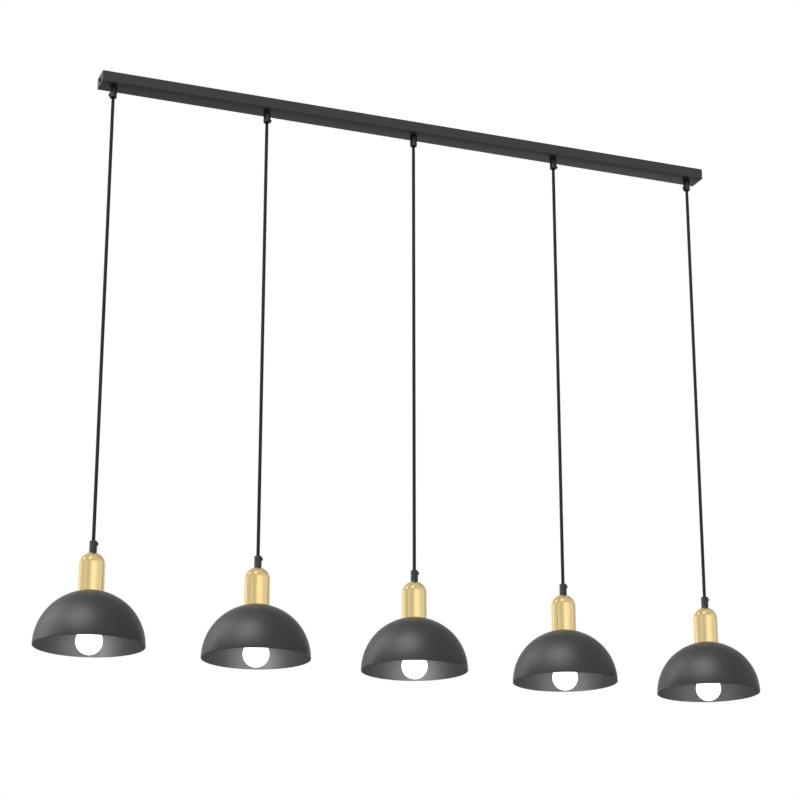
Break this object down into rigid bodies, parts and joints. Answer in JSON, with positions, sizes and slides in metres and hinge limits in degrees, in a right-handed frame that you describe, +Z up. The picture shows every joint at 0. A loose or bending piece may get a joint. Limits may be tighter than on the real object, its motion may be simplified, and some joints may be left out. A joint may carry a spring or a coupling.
{
  "type": "linear island pendant",
  "caption": "Row of domed pendant lamps on black cords under a straight black canopy bar: charcoal half-round shades, gold domed cups, white globe bulbs.",
  "frame": {"origin": "on the ceiling, over the middle of the canopy bar", "axes": "+Z up, X along the bar to the picture's right, Y from the front of the bar to its back"},
  "size_m": [1.336, 0.186, 1.0482],
  "materials": {
    "canopy_black": "satin black powder coat",
    "steel": "zinc-plated steel",
    "screw_black": "black",
    "grip_black": "semi-gloss black",
    "cord_black": "black textile",
    "terminal_plastic": "off-white",
    "brass_plain": "plain",
    "gold": "polished gold",
    "holder_black": "moulded black",
    "shade_charcoal": "satin charcoal outside, grey inside",
    "bulb_metal": "plain",
    "opal": "opal white, lit"
  },
  "bodies": {
    "ceiling_end": {"canopy_cover": "canopy_black", "ceiling_bracket": "steel", "side_screws": "screw_black", "upper_grips": "grip_black", "upper_grip_screws": "screw_black", "grip_nuts": "steel", "cord_tails": "cord_black", "terminal_block": "terminal_plastic", "terminal_screws": "brass_plain", "earth_stud": "steel"},
    "hanging_cord_1": {"cord_1": "cord_black"},
    "lamp_head_1": {"lower_grip_1": "grip_black", "grip_screw_1": "screw_black", "nipple_1": "steel", "cup_1": "gold", "lampholder_1": "holder_black", "shade_1": "shade_charcoal", "shade_ring_1": "holder_black"},
    "bulb_1": {"bulb_base_1": "bulb_metal", "bulb_globe_1": "opal"},
    "hanging_cord_2": {"cord_2": "cord_black"},
    "lamp_head_2": {"lower_grip_2": "grip_black", "grip_screw_2": "screw_black", "nipple_2": "steel", "cup_2": "gold", "lampholder_2": "holder_black", "shade_2": "shade_charcoal", "shade_ring_2": "holder_black"},
    "bulb_2": {"bulb_base_2": "bulb_metal", "bulb_globe_2": "opal"},
    "hanging_cord_3": {"cord_3": "cord_black"},
    "lamp_head_3": {"lower_grip_3": "grip_black", "grip_screw_3": "screw_black", "nipple_3": "steel", "cup_3": "gold", "lampholder_3": "holder_black", "shade_3": "shade_charcoal", "shade_ring_3": "holder_black"},
    "bulb_3": {"bulb_base_3": "bulb_metal", "bulb_globe_3": "opal"},
    "hanging_cord_4": {"cord_4": "cord_black"},
    "lamp_head_4": {"lower_grip_4": "grip_black", "grip_screw_4": "screw_black", "nipple_4": "steel", "cup_4": "gold", "lampholder_4": "holder_black", "shade_4": "shade_charcoal", "shade_ring_4": "holder_black"},
    "bulb_4": {"bulb_base_4": "bulb_metal", "bulb_globe_4": "opal"},
    "hanging_cord_5": {"cord_5": "cord_black"},
    "lamp_head_5": {"lower_grip_5": "grip_black", "grip_screw_5": "screw_black", "nipple_5": "steel", "cup_5": "gold", "lampholder_5": "holder_black", "shade_5": "shade_charcoal", "shade_ring_5": "holder_black"},
    "bulb_5": {"bulb_base_5": "bulb_metal", "bulb_globe_5": "opal"}
  },
  "joints": [
    {"name": "swing_1", "type": "hinge", "parent": "ceiling_end", "child": "hanging_cord_1", "pos_m": [-0.575, 0, -0.041], "axis": [1, 0, 0], "range_deg": [-30, 30]},
    {"name": "height_1", "type": "slide", "parent": "hanging_cord_1", "child": "lamp_head_1", "axis": [0, 0, 1], "range_m": [0, 0.5], "deforming": ["cord_1"]},
    {"name": "bulb_turn_1", "type": "hinge", "parent": "lamp_head_1", "child": "bulb_1", "pos_m": [-0.575, 0, -1.03386], "axis": [0, 0, 1], "range_deg": [0, 360]},
    {"name": "swing_2", "type": "hinge", "parent": "ceiling_end", "child": "hanging_cord_2", "pos_m": [-0.2875, 0, -0.041], "axis": [1, 0, 0], "range_deg": [-30, 30]},
    {"name": "height_2", "type": "slide", "parent": "hanging_cord_2", "child": "lamp_head_2", "axis": [0, 0, 1], "range_m": [0, 0.5], "deforming": ["cord_2"]},
    {"name": "bulb_turn_2", "type": "hinge", "parent": "lamp_head_2", "child": "bulb_2", "pos_m": [-0.2875, 0, -1.03386], "axis": [0, 0, 1], "range_deg": [0, 360]},
    {"name": "swing_3", "type": "hinge", "parent": "ceiling_end", "child": "hanging_cord_3", "pos_m": [0, 0, -0.041], "axis": [1, 0, 0], "range_deg": [-30, 30]},
    {"name": "height_3", "type": "slide", "parent": "hanging_cord_3", "child": "lamp_head_3", "axis": [0, 0, 1], "range_m": [0, 0.5], "deforming": ["cord_3"]},
    {"name": "bulb_turn_3", "type": "hinge", "parent": "lamp_head_3", "child": "bulb_3", "pos_m": [0, 0, -1.03386], "axis": [0, 0, 1], "range_deg": [0, 360]},
    {"name": "swing_4", "type": "hinge", "parent": "ceiling_end", "child": "hanging_cord_4", "pos_m": [0.2875, 0, -0.041], "axis": [1, 0, 0], "range_deg": [-30, 30]},
    {"name": "height_4", "type": "slide", "parent": "hanging_cord_4", "child": "lamp_head_4", "axis": [0, 0, 1], "range_m": [0, 0.5], "deforming": ["cord_4"]},
    {"name": "bulb_turn_4", "type": "hinge", "parent": "lamp_head_4", "child": "bulb_4", "pos_m": [0.2875, 0, -1.03386], "axis": [0, 0, 1], "range_deg": [0, 360]},
    {"name": "swing_5", "type": "hinge", "parent": "ceiling_end", "child": "hanging_cord_5", "pos_m": [0.575, 0, -0.041], "axis": [1, 0, 0], "range_deg": [-30, 30]},
    {"name": "height_5", "type": "slide", "parent": "hanging_cord_5", "child": "lamp_head_5", "axis": [0, 0, 1], "range_m": [0, 0.5], "deforming": ["cord_5"]},
    {"name": "bulb_turn_5", "type": "hinge", "parent": "lamp_head_5", "child": "bulb_5", "pos_m": [0.575, 0, -1.03386], "axis": [0, 0, 1], "range_deg": [0, 360]}
  ]
}
